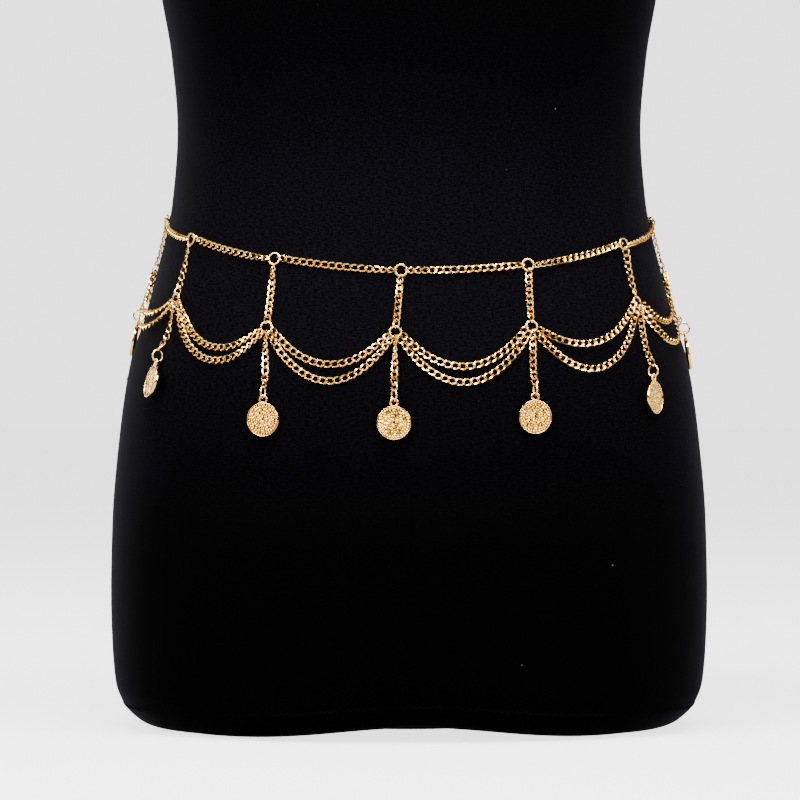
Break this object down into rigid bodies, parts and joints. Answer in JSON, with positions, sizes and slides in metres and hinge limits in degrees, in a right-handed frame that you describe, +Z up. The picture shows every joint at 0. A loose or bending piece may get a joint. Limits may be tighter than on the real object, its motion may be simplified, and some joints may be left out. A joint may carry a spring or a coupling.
{
  "type": "coin tassel waist chain on a torso dress form",
  "caption": "Metal waist chain with hanging chain drops, double swags and small embossed coins, fastened round a limbless torso dress form with a dark knit cover.",
  "frame": {"origin": "middle of the form's flat underside, under the middle of the whole", "axes": "+Z up, the front faces -Y, +X is to the right seen from the front"},
  "size_m": [0.337, 0.2504, 0.73],
  "materials": {
    "knit_cover": "black brushed knit",
    "gold_plate": "gold-plated, polished wire and stamped coins"
  },
  "bodies": {
    "form_and_chain": {"form": "knit_cover", "clasp": "gold_plate", "extension": "gold_plate", "waist_01": "gold_plate", "waist_02": "gold_plate", "waist_03": "gold_plate", "waist_04": "gold_plate", "waist_05": "gold_plate", "waist_06": "gold_plate", "waist_07": "gold_plate", "waist_08": "gold_plate", "waist_09": "gold_plate", "waist_10": "gold_plate", "waist_11": "gold_plate", "hanger_01": "gold_plate", "hanger_02": "gold_plate", "hanger_03": "gold_plate", "hanger_04": "gold_plate", "hanger_05": "gold_plate", "hanger_06": "gold_plate", "hanger_07": "gold_plate", "hanger_08": "gold_plate", "hanger_09": "gold_plate", "hanger_10": "gold_plate", "hanger_11": "gold_plate", "swag_upper_01": "gold_plate", "swag_upper_02": "gold_plate", "swag_upper_03": "gold_plate", "swag_upper_04": "gold_plate", "swag_upper_05": "gold_plate", "swag_upper_06": "gold_plate", "swag_upper_07": "gold_plate", "swag_upper_08": "gold_plate", "swag_upper_09": "gold_plate", "swag_upper_10": "gold_plate", "swag_lower_01": "gold_plate", "swag_lower_02": "gold_plate", "swag_lower_03": "gold_plate", "swag_lower_04": "gold_plate", "swag_lower_05": "gold_plate", "swag_lower_06": "gold_plate", "swag_lower_07": "gold_plate", "swag_lower_08": "gold_plate", "swag_lower_09": "gold_plate", "swag_lower_10": "gold_plate"},
    "coin_01": {"coin_01": "gold_plate"},
    "coin_02": {"coin_02": "gold_plate"},
    "coin_03": {"coin_03": "gold_plate"},
    "coin_04": {"coin_04": "gold_plate"},
    "coin_05": {"coin_05": "gold_plate"},
    "coin_06": {"coin_06": "gold_plate"},
    "coin_07": {"coin_07": "gold_plate"},
    "coin_08": {"coin_08": "gold_plate"},
    "coin_09": {"coin_09": "gold_plate"},
    "coin_10": {"coin_10": "gold_plate"},
    "coin_11": {"coin_11": "gold_plate"}
  },
  "joints": [
    {"name": "coin_01_swing", "type": "hinge", "parent": "form_and_chain", "child": "coin_01", "pos_m": [-0.14577, 0.0086, 0.2207], "axis": [0.0064, 1, 0], "range_deg": [0, 79]},
    {"name": "coin_02_swing", "type": "hinge", "parent": "form_and_chain", "child": "coin_02", "pos_m": [-0.13087, -0.06261, 0.19805], "axis": [-0.6227, 0.7825, 0], "range_deg": [-7.5, 75]},
    {"name": "coin_03_swing", "type": "hinge", "parent": "form_and_chain", "child": "coin_03", "pos_m": [-0.07452, -0.10379, 0.17901], "axis": [-0.945, 0.3271, 0], "range_deg": [-2, 90]},
    {"name": "coin_04_swing", "type": "hinge", "parent": "form_and_chain", "child": "coin_04", "pos_m": [-0.00791, -0.11471, 0.17736], "axis": [-0.9141, -0.4055, 0], "range_deg": [-2.5, 90]},
    {"name": "coin_05_swing", "type": "hinge", "parent": "form_and_chain", "child": "coin_05", "pos_m": [0.06378, -0.10698, 0.18031], "axis": [-0.9641, -0.2655, 0], "range_deg": [-2, 90]},
    {"name": "coin_06_swing", "type": "hinge", "parent": "form_and_chain", "child": "coin_06", "pos_m": [0.12624, -0.07002, 0.19022], "axis": [-0.6883, -0.7254, 0], "range_deg": [0, 86]},
    {"name": "coin_07_swing", "type": "hinge", "parent": "form_and_chain", "child": "coin_07", "pos_m": [0.14809, 0.0035, 0.21354], "axis": [-0.0175, -0.9998, 0], "range_deg": [0, 81]},
    {"name": "coin_08_swing", "type": "hinge", "parent": "form_and_chain", "child": "coin_08", "pos_m": [0.1237, 0.06859, 0.22159], "axis": [0.6627, -0.7489, 0], "range_deg": [0, 80]},
    {"name": "coin_09_swing", "type": "hinge", "parent": "form_and_chain", "child": "coin_09", "pos_m": [0.05842, 0.10258, 0.2301], "axis": [0.9697, -0.2442, 0], "range_deg": [0, 82]},
    {"name": "coin_10_swing", "type": "hinge", "parent": "form_and_chain", "child": "coin_10", "pos_m": [-0.01484, 0.1079, 0.23247], "axis": [0.9991, 0.0424, 0], "range_deg": [0, 82]},
    {"name": "coin_11_swing", "type": "hinge", "parent": "form_and_chain", "child": "coin_11", "pos_m": [-0.08604, 0.09399, 0.2267], "axis": [0.9076, 0.4199, 0], "range_deg": [0, 82]}
  ]
}
